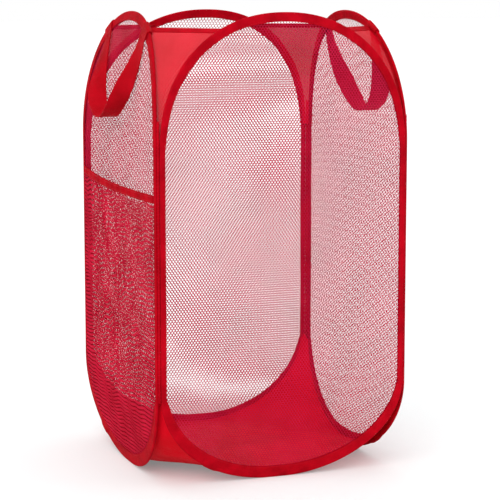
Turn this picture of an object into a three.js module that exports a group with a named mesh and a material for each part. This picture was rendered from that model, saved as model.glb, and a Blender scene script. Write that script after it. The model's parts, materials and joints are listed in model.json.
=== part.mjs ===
// A pop up laundry hamper: four net sides, each held taut by a loop of spring wire in a folded tape,
// sewn together along their straight legs, with a cloth base, corner gussets, a pocket and two handles.
// Millimetres, +Z up. The front faces -Y, the pocket is on the left, -X. The origin is on the floor.
import * as THREE from "three";

// The open hamper
const height = 606;
const hingeSpan = 337; // between the hinge lines of neighbouring corners
const upperArchHeight = 170;
const lowerArchHeight = 120;
const upperArchExponent = 2.15; // 2 is an ellipse, and more is squarer
const lowerArchExponent = 1.9;
const footLength = 24; // the short flat stretch that a loop stands on
const arches = { upperSteps: 10, lowerSteps: 9 };

// How far each side's arches lean in over the hamper, from the ends of the straight legs
const frontTopLean = 2;
const frontBottomLean = 26;
const leftTopLean = 22;
const rightTopLean = 15;
const handleSideBottomLean = 12; // the left and right sides
const backTopLean = 36;
const backBottomLean = 12;
const sides = [
  { name: "front", turn: 0, topLean: frontTopLean, bottomLean: frontBottomLean },
  { name: "right", turn: 90, topLean: rightTopLean, bottomLean: handleSideBottomLean },
  { name: "back", turn: 180, topLean: backTopLean, bottomLean: backBottomLean },
  { name: "left", turn: 270, topLean: leftTopLean, bottomLean: handleSideBottomLean },
];

// Spring wire and the ferrule that joins its ends
const wireRadius = 1;
const wireSides = 6;
const wireClearance = 0.4;
const ferruleClearance = 0.35; // between the wire and the ferrule's bore, and round the ferrule
const ferruleWall = 0.6;
const ferruleLength = 12;
const ferruleSides = 10;
const ferruleStep = 3; // steps along the lower arch from the foot

// Tape binding, folded round the wire and over the edge of the net
const tapeThickness = 0.7;
const legBand = 7;
const upperBand = 12;
const lowerBand = 17;
const beadFlatShare = 0.4; // how much of the folded edge is flat
const channelCornerShare = 0.46;

// Corner hinge: the rolled seam that joins two neighbouring bindings
const foldClearance = 0.4; // between a binding and the hinge line's plane
const edgeSetback = 1.2; // from the hinge line to the binding's edge
const seamRadius = 1.6;
const seamSides = 8;
const seamRise = 30; // how far the seam runs past the legs' ends, up and down
const lowerSeamRise = 4;

// Net side panels
const netThickness = 1;
const netClearance = 0.35; // between the net's faces and the tape
const netEdgeDepth = 4.4; // from the binding's edge to the net's edge
const netPitchAcross = 60;
const netRowPitch = 44;
const netGapAcross = 45;
const netGapHeight = 66;
const netWaver = 0.7; // knitted rows and columns aren't quite straight
const netRim = 1; // how far the net's plain rim shows past the tape
const netMargin = 4;

// Cloth of the base and the gussets
const clothThickness = 0.8;
const clothClearance = 0.3;
const baseSeamDepth = 8; // from the binding's edge to the base's edge
const baseCornerTuck = 5;
const baseCornerRise = 6;
const baseSteps = 14;
const gussetSeamDepth = 6;
const gussetStart = 34; // above the legs' upper ends
const gussetTopDrop = 26; // below the hamper's top
const gussetRows = 5;
const gussetColumns = 3;
const hemHeight = 5;
const hemThickness = 1.6;
const hemClearance = 0.3;

// Pocket on the left side
const pocketMouthDrop = 57; // from the legs' upper ends to the ends of the hem's middle line
const pocketHemDrop = 9; // from the hem's back end to its front end
const pocketSag = 2;
const pocketHemHeight = 10;
const pocketHemThickness = 2;
const pocketClearance = 0.4;
const pocketBulge = 9;
const pocketHemSteps = 8;
const pocketRim = 3;
const pocketMargin = 7;

// Webbing handles on the left and right sides
const webWidth = 25;
const webThickness = 1.4;
const webClearance = 0.5;
const handleSpacing = 170; // between the middles of the two sewn ends
const handleDrop = 104; // from the sewn ends down to the middle of the strap
const handleExponent = 1.95;
const handleSteps = 20;
const handleTwistSteps = 8; // steps in which an end turns a quarter, from flat to standing out
const handleStandOff = 2; // from the band's plane to the standing webbing
const handleEndClearance = 0.9;
const sewnEndDepth = 15; // how far a sewn end reaches over the band outside
const sewnEndTuck = 4.5; // and how far it reaches inside, where the gusset begins
const sewnEndColumns = 2;
const sewnEndTurns = 4; // steps of the wrap round the wire

// Sizes that follow from the ones above
const overrun = 1e-4; // a step for slopes, not a size
const channelRadius = wireRadius + wireClearance;
const beadRadius = channelRadius + tapeThickness;
const ferruleBore = wireRadius + ferruleClearance;
const ferruleRadius = ferruleBore + ferruleWall;
const ferruleSwell = ferruleRadius + ferruleClearance + wireClearance - channelRadius;
const slotHalf = netThickness / 2 + netClearance;
const lipHalf = slotHalf + tapeThickness;
const standOff = beadRadius + foldClearance;
const sideDistance = hingeSpan / 2 + standOff; // from the hamper's middle to the middle of a side
const legReach = hingeSpan / 2 - edgeSetback;
const upperStart = height - upperArchHeight;
const gussetTop = height - gussetTopDrop;
const pocketMouth = upperStart - pocketMouthDrop;
const clothOut = -(beadRadius + clothClearance + clothThickness / 2);
const hemOut = -(beadRadius + hemClearance + hemThickness / 2);
const webOut = beadRadius + webClearance;

const red = 0xc8001e;
const materials = {
  wire: new THREE.MeshStandardMaterial({ color: 0x9a9da1, roughness: 0.35, metalness: 0.9 }),
  ferrule: new THREE.MeshStandardMaterial({ color: 0xb8bbbe, roughness: 0.45, metalness: 0.8 }),
  tape: new THREE.MeshStandardMaterial({ color: red, roughness: 0.6 }),
  net: new THREE.MeshStandardMaterial({ color: 0xd8607a, roughness: 0.7, side: THREE.DoubleSide }),
  nylon: new THREE.MeshStandardMaterial({ color: 0xd2002a, roughness: 0.5 }),
  webbing: new THREE.MeshStandardMaterial({ color: 0xb4001a, roughness: 0.75 }),
};

const hamper = new THREE.Group();

// A closed geometry from its points and triangles, turned to face outwards.
function closedGeometry(points, triangles) {
  const corner = (index) => points[index];
  let volume = 0;
  for (const [a, b, c] of triangles) volume += corner(a).dot(corner(b).clone().cross(corner(c)));
  const index = triangles.flatMap(([a, b, c]) => (volume > 0 ? [a, b, c] : [a, c, b]));
  const geometry = new THREE.BufferGeometry().setFromPoints(points);
  geometry.setIndex(index);
  geometry.computeVertexNormals();
  return geometry;
}

// Two triangles for a face with four corners.
const quad = (a, b, c, d) => [[a, b, c], [a, c, d]];

// A band that closes on itself both round its section and along its rings.
function closedBand(rings) {
  const around = rings[0].length;
  const triangles = [];
  rings.forEach((ring, i) => {
    const next = (i + 1) % rings.length;
    for (let j = 0; j < around; j++) {
      const k = (j + 1) % around;
      triangles.push(...quad(i * around + j, next * around + j, next * around + k, i * around + k));
    }
  });
  return closedGeometry(rings.flat(), triangles);
}

// The direction that a sheet of points faces at one of them.
function sheetNormal(grid, i, j) {
  const row = (n) => grid[Math.min(Math.max(n, 0), grid.length - 1)];
  const at = (n, m) => row(n)[Math.min(Math.max(m, 0), row(n).length - 1)];
  const down = at(i + 1, j).clone().sub(at(i - 1, j));
  const across = at(i, j + 1).clone().sub(at(i, j - 1));
  return down.cross(across).normalize();
}

// A sheet of even thickness, closed round its rim, from a grid of points on its middle surface.
function sheetSolid(grid, thickness) {
  const columns = grid[0].length;
  const layer = (side) =>
    grid.flatMap((row, i) =>
      row.map((p, j) => p.clone().addScaledVector(sheetNormal(grid, i, j), (side * thickness) / 2)));
  const points = [...layer(1), ...layer(-1)];
  const back = grid.length * columns;
  const triangles = [];
  for (let i = 0; i + 1 < grid.length; i++)
    for (let j = 0; j + 1 < columns; j++) {
      const a = i * columns + j;
      triangles.push(...quad(a, a + 1, a + columns + 1, a + columns));
      triangles.push(...quad(back + a, back + a + columns, back + a + columns + 1, back + a + 1));
    }
  const rim = [];
  for (let j = 0; j < columns - 1; j++) rim.push(j);
  for (let i = 0; i < grid.length - 1; i++) rim.push(i * columns + columns - 1);
  for (let j = columns - 1; j > 0; j--) rim.push((grid.length - 1) * columns + j);
  for (let i = grid.length - 1; i > 0; i--) rim.push(i * columns);
  rim.forEach((a, n) => {
    const b = rim[(n + 1) % rim.length];
    triangles.push(...quad(a, back + a, back + b, b));
  });
  return closedGeometry(points, triangles);
}

function addPiece(name, geometry, material, group) {
  const mesh = new THREE.Mesh(geometry, material);
  mesh.name = name;
  group.add(mesh);
  return mesh;
}

// How wide a superellipse is, as a share, at a share of its height.
const reachShare = (share, exponent) => (1 - Math.abs(share) ** exponent) ** (1 / exponent);

// How far a side leans in at a height.
function leanAt(side, z) {
  const above = Math.max(0, z - upperStart) / upperArchHeight;
  const below = Math.max(0, lowerArchHeight - z) / lowerArchHeight;
  return side.topLean * above ** 2 + side.bottomLean * below ** 2;
}

// A point of a side: s to the right seen from outside, out away from the hamper, z up.
function sidePoint(side, s, out, z) {
  return new THREE.Vector3(s, leanAt(side, z) - sideDistance - out, z);
}

// The same point in the hamper's own frame.
function hamperPoint(side, s, out, z) {
  const turn = THREE.MathUtils.degToRad(side.turn);
  return sidePoint(side, s, out, z).applyAxisAngle(new THREE.Vector3(0, 0, 1), turn);
}

// Points of a quarter arch, from the leg's end to the middle. flat is the straight half in the middle.
function quarterArch(steps, exponent, flat, rise, start) {
  const points = [];
  for (let i = 0; i <= steps; i++) {
    const angle = ((Math.PI / 2) * i) / steps;
    const s = flat + (legReach - flat) * Math.cos(angle) ** (2 / exponent);
    const z = start + rise * Math.sin(angle) ** (2 / exponent);
    points.push({ s, z });
  }
  points[steps].s = flat;
  return points;
}

// How wide the folded tape is at a height.
function bandAt(z) {
  const above = Math.max(0, z - upperStart) / upperArchHeight;
  const below = Math.max(0, lowerArchHeight - z) / lowerArchHeight;
  return legBand + (upperBand - legBand) * Math.sqrt(above) + (lowerBand - legBand) * Math.sqrt(below);
}

// The binding's edge as a closed ring of stations, each with its inward direction and band width.
function loopStations() {
  const upper = quarterArch(arches.upperSteps, upperArchExponent, 0, upperArchHeight, upperStart);
  const lower = quarterArch(
    arches.lowerSteps, lowerArchExponent, footLength / 2, -lowerArchHeight, lowerArchHeight);
  const mirrored = (points) => points.map(({ s, z }) => ({ s: -s, z }));
  const ring = [
    ...lower.slice().reverse(),
    ...upper,
    ...mirrored(upper.slice(0, -1)).reverse(),
    ...mirrored(lower),
  ];
  const place = (i) => ring[(i + ring.length) % ring.length];
  const inward = (a, b) => new THREE.Vector2(a.z - b.z, b.s - a.s).normalize();
  return ring.map((point, i) => {
    const before = inward(place(i - 1), point);
    const after = inward(point, place(i + 1));
    const mitre = before.clone().add(after).divideScalar(1 + before.dot(after));
    return { ...point, inS: mitre.x, inZ: mitre.y, band: bandAt(point.z), swell: 0 };
  });
}

// The two stations of the loop between which the ferrule lies.
const stations = loopStations();
const ferruleStations = [ferruleStep, ferruleStep + 1].map((n) => stations[stations.length - 1 - n]);
for (const station of ferruleStations) station.swell = ferruleSwell;

const stationPoint = (side, station, depth, out) =>
  sidePoint(side, station.s + station.inS * depth, out, station.z + station.inZ * depth);

function sweepLoop(side, section) {
  return closedBand(
    stations.map((station) =>
      section(station).map(([depth, out]) => stationPoint(side, station, depth, out))));
}

// The folded tape: a bead round the wire and two lips over the net, open along the inner edge.
function bindingSection({ band, swell }) {
  const bead = beadRadius + swell;
  const channel = channelRadius + swell;
  const half = [
    [band, lipHalf],
    [beadRadius, bead],
    [beadRadius - bead, bead * beadFlatShare],
  ];
  const inner = [
    [band, slotHalf],
    [beadRadius, channel],
    [beadRadius - channel, channel * channelCornerShare],
  ];
  const flipped = (points) => points.map(([depth, out]) => [depth, -out]).reverse();
  return [...half, ...flipped(half), ...flipped(inner).reverse(), ...inner.slice().reverse()];
}

function wireSection() {
  const points = [];
  for (let i = 0; i < wireSides; i++) {
    const angle = (2 * Math.PI * i) / wireSides;
    points.push([beadRadius + wireRadius * Math.cos(angle), wireRadius * Math.sin(angle)]);
  }
  return points;
}

function ferruleGeometry(side) {
  const half = ferruleLength / 2;
  const profile = [
    [ferruleBore, -half], [ferruleRadius, -half], [ferruleRadius, half], [ferruleBore, half],
    [ferruleBore, -half],
  ].map(([x, y]) => new THREE.Vector2(x, y));
  const [from, to] = ferruleStations.map((station) => stationPoint(side, station, beadRadius, 0));
  const along = to.clone().sub(from).normalize();
  const turn = new THREE.Quaternion().setFromUnitVectors(new THREE.Vector3(0, 1, 0), along);
  const middle = from.clone().add(to).divideScalar(2);
  return new THREE.LatheGeometry(profile, ferruleSides)
    .applyQuaternion(turn)
    .translate(middle.x, middle.y, middle.z);
}

// Whether a point lies inside a closed outline.
function isInside(outline, point) {
  let inside = false;
  outline.forEach((a, i) => {
    const b = outline[(i + 1) % outline.length];
    if (a.y > point.y !== b.y > point.y) {
      const crossing = a.x + ((point.y - a.y) * (b.x - a.x)) / (b.y - a.y);
      if (point.x < crossing) inside = !inside;
    }
  });
  return inside;
}

// Diamond gaps in staggered rows, each one wholly inside the open part of the net.
function netGaps(open, low, high) {
  const gaps = [];
  const rows = Math.ceil((high - low) / netRowPitch);
  const columns = Math.ceil(legReach / netPitchAcross);
  for (let row = 0; row <= rows; row++)
    for (let column = -columns; column <= columns; column++) {
      const across = column + (row % 2) / 2;
      const x = across * netPitchAcross + netWaver * Math.sin(row);
      const y = low + row * netRowPitch + netWaver * Math.sin(2 * across);
      const corners = [
        new THREE.Vector2(x + netGapAcross / 2, y),
        new THREE.Vector2(x, y + netGapHeight / 2),
        new THREE.Vector2(x - netGapAcross / 2, y),
        new THREE.Vector2(x, y - netGapHeight / 2),
      ];
      if (corners.every((corner) => isInside(open, corner))) gaps.push(corners);
    }
  return gaps;
}

const insetOutline = (depthAt) =>
  stations.map((station) => {
    const depth = depthAt(station);
    return new THREE.Vector2(station.s + station.inS * depth, station.z + station.inZ * depth);
  });

// Turns shared edges of a flat triangulation until its triangles are as even as its points allow.
function evenTriangles(points, faces) {
  const cotangent = (apex, a, b) => {
    const toA = points[a].clone().sub(points[apex]);
    const toB = points[b].clone().sub(points[apex]);
    return toA.dot(toB) / Math.abs(toA.cross(toB));
  };
  const anticlockwise = ([a, b, c]) =>
    THREE.ShapeUtils.isClockWise([points[a], points[b], points[c]]) ? [a, c, b] : [a, b, c];
  const triangles = faces.map(anticlockwise);
  let turned = true;
  while (turned) {
    turned = false;
    const owners = new Map();
    triangles.forEach(([a, b, c], i) => {
      for (const [from, to, apex] of [[a, b, c], [b, c, a], [c, a, b]])
        owners.set(`${from},${to}`, { from, to, apex, i });
    });
    const used = new Set();
    for (const { from, to, apex, i } of owners.values()) {
      const other = owners.get(`${to},${from}`);
      if (!other || used.has(i) || used.has(other.i)) continue;
      const evenness = cotangent(apex, from, to) + cotangent(other.apex, from, to);
      if (evenness > -overrun) continue;
      triangles[i] = [from, other.apex, apex];
      triangles[other.i] = [other.apex, to, apex];
      used.add(i).add(other.i);
      turned = true;
    }
  }
  return triangles;
}

// A net laid on its side of the hamper: a plain rim between the two rings, and gaps inside the second.
function netSolid(side, rings, gaps, outAt) {
  const [rim, inner] = rings;
  const faces = evenTriangles(
    [...inner, ...gaps.flat()], THREE.ShapeUtils.triangulateShape(inner, gaps));
  const flat = [...rim, ...inner, ...gaps.flat()];
  const around = inner.length;
  const sheet = faces.map((face) => face.map((index) => index + rim.length));
  rim.forEach((_, i) => {
    const next = (i + 1) % around;
    sheet.push(...quad(i, next, around + next, around + i));
  });
  const layer = (offset) =>
    flat.map(({ x, y }) => sidePoint(side, x, outAt(x, y) + offset, y));
  const points = [...layer(netThickness / 2), ...layer(-netThickness / 2)];
  const back = flat.length;
  const turned = (ring) => THREE.ShapeUtils.isClockWise(ring);
  const triangles = [];
  for (const [a, b, c] of sheet) {
    const face = turned([flat[a], flat[b], flat[c]]) ? [a, c, b] : [a, b, c];
    triangles.push(face, [face[0] + back, face[2] + back, face[1] + back]);
  }
  const wall = (ring, start, outer) => {
    const forwards = turned(ring) !== outer;
    ring.forEach((_, i) => {
      const here = start + i;
      const next = start + ((i + 1) % ring.length);
      const [a, b] = forwards ? [here, next] : [next, here];
      triangles.push(...quad(a, a + back, b + back, b));
    });
  };
  wall(rim, 0, true);
  let start = rim.length + around;
  for (const gap of gaps) {
    wall(gap, start, false);
    start += gap.length;
  }
  return closedGeometry(points, triangles);
}

function addSidePanel(side) {
  const group = new THREE.Group();
  group.rotation.z = THREE.MathUtils.degToRad(side.turn);
  hamper.add(group);
  side.group = group;
  addPiece(`wire_loop_${side.name}`, sweepLoop(side, wireSection), materials.wire, group);
  addPiece(`wire_ferrule_${side.name}`, ferruleGeometry(side), materials.ferrule, group);
  addPiece(`binding_${side.name}`, sweepLoop(side, bindingSection), materials.tape, group);
  const open = insetOutline((station) => station.band + netMargin);
  const gaps = netGaps(open, lowerArchHeight - 2 * netRowPitch, height);
  const rings = [insetOutline(() => netEdgeDepth), insetOutline((station) => station.band + netRim)];
  addPiece(`net_${side.name}`, netSolid(side, rings, gaps, () => 0), materials.net, group);
}

// The pocket's mouth line falls from its back end to its front end, and sags a little.
function pocketLine(s) {
  const share = s / legReach;
  return pocketMouth - (pocketHemDrop * share) / 2 - pocketSag * (1 - share ** 2);
}
const pocketHalf = legReach - legBand - pocketClearance;
const pocketOut = (s, z) => {
  const across = Math.cos((Math.PI / 2) * Math.min(1, Math.abs(s) / pocketHalf));
  const up = Math.min(1, Math.max(0, z) / pocketMouth);
  return netThickness + pocketClearance + pocketBulge * across * up;
};

function pocketHem(side) {
  const rows = [-1, 1].map((edge) => {
    const row = [];
    for (let i = 0; i <= pocketHemSteps; i++) {
      const s = pocketHalf * ((2 * i) / pocketHemSteps - 1);
      const z = pocketLine(s) + (edge * pocketHemHeight) / 2;
      row.push(sidePoint(side, s, pocketOut(s, z) + (pocketHemThickness - netThickness) / 2, z));
    }
    return row;
  });
  return sheetSolid(rows, pocketHemThickness);
}

function addPocket(side) {
  const top = (s) => pocketLine(s) - pocketHemHeight / 2 - pocketClearance;
  const wholeAt = (margin) => {
    const inner = insetOutline((station) => station.band + pocketClearance + margin);
    const below = inner.filter((point) => point.y < top(point.x) && point.y <= lowerArchHeight);
    const firstLeft = below.findIndex((point) => point.x < 0);
    const mouth = [];
    for (let i = 0; i <= pocketHemSteps; i++) {
      const s = (pocketHalf - margin) * (1 - (2 * i) / pocketHemSteps);
      mouth.push(new THREE.Vector2(s, top(s) - margin));
    }
    return [...below.slice(0, firstLeft), ...mouth, ...below.slice(firstLeft)];
  };
  const gaps = netGaps(wholeAt(pocketMargin), lowerArchHeight - 2 * netRowPitch, pocketMouth);
  const net = netSolid(side, [wholeAt(0), wholeAt(pocketRim)], gaps, pocketOut);
  addPiece("pocket_net", net, materials.net, side.group);
  addPiece("pocket_hem", pocketHem(side), materials.tape, side.group);
}

// The height of the base's sewn edge along a side's lower arch.
function baseEdgeHeight(s) {
  const share = Math.min(1, Math.abs(s) / (legReach - baseSeamDepth));
  return lowerArchHeight - (lowerArchHeight - baseSeamDepth) * reachShare(share, lowerArchExponent);
}

function baseEdgePoint(side, share) {
  if (Math.abs(share) === 1) {
    const tuck = hingeSpan / 2 - baseCornerTuck;
    const corner = new THREE.Vector3(share * tuck, -tuck, lowerArchHeight + baseCornerRise);
    return corner.applyAxisAngle(new THREE.Vector3(0, 0, 1), THREE.MathUtils.degToRad(side.turn));
  }
  const s = (legReach - baseSeamDepth) * Math.sin((Math.PI / 2) * share);
  return hamperPoint(side, s, clothOut, baseEdgeHeight(s));
}

// A point of the base at shares of the way from its middle to the right and to the back. Its middle lies flat
// between the four feet, and across each corner it runs straight from one lower arch to the next.
function basePoint(x, y) {
  const [front, right, back, left] = sides;
  const [fromSide, fromSign] = y < 0 ? [front, 1] : [back, -1];
  const [toSide, toSign] = x > 0 ? [right, 1] : [left, -1];
  const alongArch = Math.abs(x) + Math.abs(y) - 1;
  if (alongArch < 0) {
    const reachX = baseEdgePoint(toSide, 0).x;
    const reachY = baseEdgePoint(fromSide, 0).y;
    return new THREE.Vector3(Math.abs(x) * reachX, Math.abs(y) * reachY, baseSeamDepth);
  }
  const from = baseEdgePoint(fromSide, fromSign * Math.sign(x) * alongArch);
  if (alongArch === 1) return from;
  const to = baseEdgePoint(toSide, toSign * Math.sign(y) * alongArch);
  return from.lerp(to, (Math.abs(x) - alongArch) / (1 - alongArch));
}

function baseGrid() {
  const share = (i) => (2 * i) / baseSteps - 1;
  const grid = [];
  for (let i = 0; i <= baseSteps; i++) {
    const row = [];
    for (let j = 0; j <= baseSteps; j++) row.push(basePoint(share(j), share(i)));
    grid.push(row);
  }
  return grid;
}

// Half the width of a side's upper arch at a height, a depth inside the binding's edge.
function upperReach(z, depth) {
  const share = (z - upperStart) / (upperArchHeight - depth);
  return (legReach - depth) * reachShare(share, upperArchExponent);
}

// A straight line of points from one side's right arch to the next side's left arch.
function gussetRow(side, next, z, reach, out) {
  const from = hamperPoint(side, reach, out, z);
  const to = hamperPoint(next, -reach, out, z);
  const row = [];
  for (let i = 0; i <= gussetColumns; i++) row.push(from.clone().lerp(to, i / gussetColumns));
  return row;
}

function addCorner(side, next) {
  const name = `${side.name}_${next.name}`;
  const low = lowerArchHeight - lowerSeamRise;
  const high = upperStart + seamRise;
  const seam = new THREE.CylinderGeometry(seamRadius, seamRadius, high - low, seamSides);
  const corner = new THREE.Group();
  corner.rotation.z = THREE.MathUtils.degToRad(side.turn);
  hamper.add(corner);
  const mesh = addPiece(`corner_seam_${name}`, seam, materials.tape, corner);
  mesh.rotation.x = Math.PI / 2;
  mesh.position.set(hingeSpan / 2, -hingeSpan / 2, (low + high) / 2);

  const rows = [];
  for (let i = 0; i <= gussetRows; i++) {
    const from = upperStart + gussetStart;
    const z = from + ((gussetTop - from) * i) / gussetRows;
    rows.push(gussetRow(side, next, z, upperReach(z, gussetSeamDepth), clothOut));
  }
  addPiece(`top_gusset_${name}`, sheetSolid(rows, clothThickness), materials.nylon, hamper);

  const hemFoot = gussetTop + hemClearance;
  const hem = [hemFoot, hemFoot + hemHeight].map((z) =>
    gussetRow(side, next, z, upperReach(z, gussetSeamDepth), hemOut));
  addPiece(`gusset_hem_${name}`, sheetSolid(hem, hemThickness), materials.tape, hamper);
}

// A point of the upper arch's edge and its inward direction, from the leg's end at 0 to the top at 90.
function upperArchStation(angle) {
  const at = (a) => ({
    s: legReach * Math.cos(a) ** (2 / upperArchExponent),
    z: upperStart + upperArchHeight * Math.sin(a) ** (2 / upperArchExponent),
  });
  const here = at(angle);
  const there = at(angle + overrun);
  const along = new THREE.Vector2(there.s - here.s, there.z - here.z);
  const speed = along.length() / overrun;
  along.normalize();
  return { ...here, inS: -along.y, inZ: along.x, speed };
}

const handleAngle = Math.acos((handleSpacing / 2 / legReach) ** (upperArchExponent / 2));
const handleStation = upperArchStation(handleAngle);

// The sewn end of a strap: webbing laid over the band's outside, round the wire and down the inside.
function sewnEnd(side, mirror) {
  const radius = beadRadius + webClearance + webThickness / 2;
  const wrap = [[sewnEndDepth, radius]];
  for (let i = 0; i <= sewnEndTurns; i++) {
    const angle = Math.PI / 2 + (Math.PI * i) / sewnEndTurns;
    wrap.push([beadRadius + radius * Math.cos(angle), radius * Math.sin(angle)]);
  }
  wrap.push([sewnEndTuck, -radius]);
  const step = webWidth / 2 / handleStation.speed;
  const columns = [];
  for (let i = 0; i <= sewnEndColumns; i++) {
    const station = upperArchStation(handleAngle + step * ((2 * i) / sewnEndColumns - 1));
    columns.push({ s: mirror * station.s, z: station.z, inS: mirror * station.inS, inZ: station.inZ });
  }
  const grid = wrap.map(([depth, out]) =>
    columns.map((station) => stationPoint(side, station, depth, out)));
  return sheetSolid(grid, webThickness);
}

// The free part of a strap: a U beside its net whose width stands away from the side. Each end turns a
// quarter, to lie flat where it meets its sewn end.
function strapSolid(side) {
  const depth = sewnEndDepth + handleEndClearance;
  const reach = handleStation.s + handleStation.inS * depth;
  const top = handleStation.z + handleStation.inZ * depth;
  const flatOut = webOut + webThickness / 2;
  const rows = [];
  for (let i = 0; i <= handleSteps; i++) {
    const angle = (Math.PI * i) / handleSteps;
    const across = Math.cos(angle);
    const s = Math.sign(across) * reach * Math.abs(across) ** (2 / handleExponent);
    const z = top - handleDrop * Math.abs(Math.sin(angle)) ** (2 / handleExponent);
    const twist = Math.min(1, Math.min(i, handleSteps - i) / handleTwistSteps);
    const turn = (Math.PI / 2) * twist;
    const flat = (Math.cos(turn) * webWidth) / 2;
    const standing = (Math.sin(turn) * webWidth) / 2;
    const out = THREE.MathUtils.lerp(flatOut, webOut + handleStandOff, twist) + standing;
    const alongS = flat * handleStation.inZ;
    const alongZ = flat * handleStation.inS * Math.sign(across);
    rows.push([-1, 1].map((edge) =>
      sidePoint(side, s + edge * alongS, out + edge * standing, z - edge * alongZ)));
  }
  return sheetSolid(rows, webThickness);
}

function addHandle(side) {
  addPiece(`handle_strap_${side.name}`, strapSolid(side), materials.webbing, side.group);
  addPiece(`handle_end_${side.name}_1`, sewnEnd(side, -1), materials.webbing, side.group);
  addPiece(`handle_end_${side.name}_2`, sewnEnd(side, 1), materials.webbing, side.group);
}

for (const side of sides) addSidePanel(side);
sides.forEach((side, i) => addCorner(side, sides[(i + 1) % sides.length]));
addPiece("base_cloth", sheetSolid(baseGrid(), clothThickness), materials.nylon, hamper);
const [, rightSide, , leftSide] = sides;
addPocket(leftSide);
addHandle(leftSide);
addHandle(rightSide);

export default hamper;
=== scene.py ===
# A pop up laundry hamper: net sides held by loops of spring wire in red tape and sewn together along their
# legs, with a nylon base, corner gussets, a net pocket and two webbing handles.
# Metres, +Z up. The front faces -Y and the pocket is on the left side, -X.
import json
import math

import bpy
import numpy as np
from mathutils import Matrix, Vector


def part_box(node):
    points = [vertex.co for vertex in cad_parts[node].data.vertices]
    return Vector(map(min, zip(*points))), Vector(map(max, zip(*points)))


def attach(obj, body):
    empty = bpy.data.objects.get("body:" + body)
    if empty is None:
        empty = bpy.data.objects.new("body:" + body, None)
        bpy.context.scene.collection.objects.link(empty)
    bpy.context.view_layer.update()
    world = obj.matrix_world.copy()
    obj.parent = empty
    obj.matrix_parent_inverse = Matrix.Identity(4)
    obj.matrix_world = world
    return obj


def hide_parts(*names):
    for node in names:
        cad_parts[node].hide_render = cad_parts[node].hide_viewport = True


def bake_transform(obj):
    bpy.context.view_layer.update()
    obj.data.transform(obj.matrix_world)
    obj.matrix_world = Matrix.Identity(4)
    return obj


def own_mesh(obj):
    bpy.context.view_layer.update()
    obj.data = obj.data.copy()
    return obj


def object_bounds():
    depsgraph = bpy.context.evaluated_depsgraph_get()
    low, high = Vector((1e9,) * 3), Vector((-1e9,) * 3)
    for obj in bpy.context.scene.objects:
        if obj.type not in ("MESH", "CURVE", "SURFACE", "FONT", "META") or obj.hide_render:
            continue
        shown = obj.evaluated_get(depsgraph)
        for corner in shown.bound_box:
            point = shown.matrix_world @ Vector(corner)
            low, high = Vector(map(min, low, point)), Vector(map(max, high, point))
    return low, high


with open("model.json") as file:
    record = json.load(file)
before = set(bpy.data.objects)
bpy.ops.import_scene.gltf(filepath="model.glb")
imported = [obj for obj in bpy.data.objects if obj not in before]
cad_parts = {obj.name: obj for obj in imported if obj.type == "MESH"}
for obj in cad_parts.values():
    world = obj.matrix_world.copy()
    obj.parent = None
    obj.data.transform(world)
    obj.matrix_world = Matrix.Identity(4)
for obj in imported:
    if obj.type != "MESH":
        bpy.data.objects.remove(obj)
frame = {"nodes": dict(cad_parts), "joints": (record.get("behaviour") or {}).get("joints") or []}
cadLow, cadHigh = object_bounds()
mm = 0.001

# camera first, at the photograph's angle
cameraLook = {
    "place": (-0.8570, -2.3362, 0.6379),
    "aim": (0.0160, 0.0, 0.2803),
    "lens": 132.4,
    "sensor": 36.0,
}


def setUpCamera(look):
    data = bpy.data.cameras.new("camera")
    data.lens = look["lens"]
    data.sensor_width = look["sensor"]
    camera = bpy.data.objects.new("camera", data)
    bpy.context.scene.collection.objects.link(camera)
    camera.location = look["place"]
    sight = Vector(look["aim"]) - camera.location
    camera.rotation_euler = sight.to_track_quat("-Z", "Y").to_euler()
    bpy.context.scene.camera = camera


setUpCamera(cameraLook)
print("camera set")

# the open hamper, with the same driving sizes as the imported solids
joints = {joint["name"]: joint for joint in frame["joints"]}
hingeHalf = abs(joints["left_fold"]["pos_m"][0])  # from the middle to the corner hinges
hamper = {
    "height": cadHigh.z,
    "upperRise": 170 * mm,
    "lowerRise": 120 * mm,
    "upperPower": 2.15,
    "lowerPower": 1.9,
    "foot": 24 * mm,
    "edgeSetback": 1.2 * mm,
    "standOff": 2.5 * mm,
    "legBand": 7 * mm,
    "upperBandGrowth": 5 * mm,
    "lowerBandGrowth": 10 * mm,
    "arcSteps": 900,
}
sides = {
    "front": {"turn": 0, "topLean": 2 * mm, "bottomLean": 26 * mm},
    "right": {"turn": 90, "topLean": 15 * mm, "bottomLean": 12 * mm},
    "back": {"turn": 180, "topLean": 36 * mm, "bottomLean": 12 * mm},
    "left": {"turn": 270, "topLean": 22 * mm, "bottomLean": 12 * mm},
}
corners = [("front", "right"), ("right", "back"), ("back", "left"), ("left", "front")]
legReach = hingeHalf - hamper["edgeSetback"]
sideDistance = hingeHalf + hamper["standOff"]
legTop = hamper["height"] - hamper["upperRise"]
legFoot = hamper["lowerRise"]


# shares of the way up the upper arch and down the lower arch
def archShares(z):
    above = np.clip(z - legTop, 0, None) / hamper["upperRise"]
    below = np.clip(legFoot - z, 0, None) / hamper["lowerRise"]
    return above, below


def leanAt(side, z):
    above, below = archShares(z)
    return sides[side]["topLean"] * above**2 + sides[side]["bottomLean"] * below**2


# from the front side's x and y to those of another side
def turned(side, x, y):
    turn = math.radians(sides[side]["turn"])
    return x * math.cos(turn) - y * math.sin(turn), x * math.sin(turn) + y * math.cos(turn)


# points of a side: s to the right seen from outside, out away from the hamper
def onSide(side, s, out, z):
    s, out, z = np.broadcast_arrays(*[np.asarray(value, float) for value in (s, out, z)])
    x, y = turned(side, s, leanAt(side, z) - sideDistance - out)
    return np.stack([x, y, z], -1)


def bandAt(z):
    above, below = archShares(z)
    growth = hamper["upperBandGrowth"] * np.sqrt(above) + hamper["lowerBandGrowth"] * np.sqrt(below)
    return hamper["legBand"] + growth


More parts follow.
